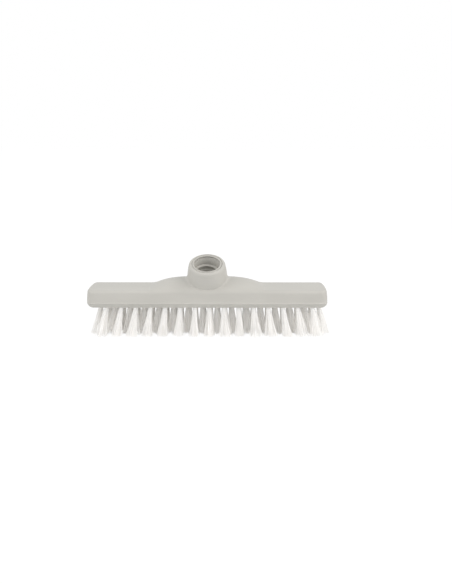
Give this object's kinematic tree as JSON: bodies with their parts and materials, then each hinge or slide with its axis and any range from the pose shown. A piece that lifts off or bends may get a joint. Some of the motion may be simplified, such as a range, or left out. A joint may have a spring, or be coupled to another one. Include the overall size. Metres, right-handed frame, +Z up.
{
  "type": "floor scrub brush",
  "caption": "Long moulded block with staggered rows of stiff bristle tufts below and, on a low hump above, a leaning threaded collar that takes a screw-in broom handle.",
  "frame": {"origin": "on the floor that the bristle tips touch, under the middle of the brush's box", "axes": "+X along the block, -Y the front that the handle socket leans to, +Z up from the bristles to the socket"},
  "size_m": [0.244, 0.0498, 0.0801],
  "materials": {
    "block_plastic": "off-white injection moulded plastic with a fine satin surface",
    "bristle_filament": "white extruded plastic filament, satin and slightly translucent",
    "anchor_wire": "bright flat drawn wire"
  },
  "bodies": {
    "root": {"brush_block": "block_plastic", "front_row_bristles": "bristle_filament", "second_row_bristles": "bristle_filament", "third_row_bristles": "bristle_filament", "rear_row_bristles": "bristle_filament", "front_row_anchor_01": "anchor_wire", "front_row_anchor_02": "anchor_wire", "front_row_anchor_03": "anchor_wire", "front_row_anchor_04": "anchor_wire", "front_row_anchor_05": "anchor_wire", "front_row_anchor_06": "anchor_wire", "front_row_anchor_07": "anchor_wire", "front_row_anchor_08": "anchor_wire", "front_row_anchor_09": "anchor_wire", "front_row_anchor_10": "anchor_wire", "front_row_anchor_11": "anchor_wire", "front_row_anchor_12": "anchor_wire", "front_row_anchor_13": "anchor_wire", "front_row_anchor_14": "anchor_wire", "front_row_anchor_15": "anchor_wire", "second_row_anchor_01": "anchor_wire", "second_row_anchor_02": "anchor_wire", "second_row_anchor_03": "anchor_wire", "second_row_anchor_04": "anchor_wire", "second_row_anchor_05": "anchor_wire", "second_row_anchor_06": "anchor_wire", "second_row_anchor_07": "anchor_wire", "second_row_anchor_08": "anchor_wire", "second_row_anchor_09": "anchor_wire", "second_row_anchor_10": "anchor_wire", "second_row_anchor_11": "anchor_wire", "second_row_anchor_12": "anchor_wire", "second_row_anchor_13": "anchor_wire", "second_row_anchor_14": "anchor_wire", "second_row_anchor_15": "anchor_wire", "second_row_anchor_16": "anchor_wire", "third_row_anchor_01": "anchor_wire", "third_row_anchor_02": "anchor_wire", "third_row_anchor_03": "anchor_wire", "third_row_anchor_04": "anchor_wire", "third_row_anchor_05": "anchor_wire", "third_row_anchor_06": "anchor_wire", "third_row_anchor_07": "anchor_wire", "third_row_anchor_08": "anchor_wire", "third_row_anchor_09": "anchor_wire", "third_row_anchor_10": "anchor_wire", "third_row_anchor_11": "anchor_wire", "third_row_anchor_12": "anchor_wire", "third_row_anchor_13": "anchor_wire", "third_row_anchor_14": "anchor_wire", "third_row_anchor_15": "anchor_wire"}
  },
  "joints": []
}
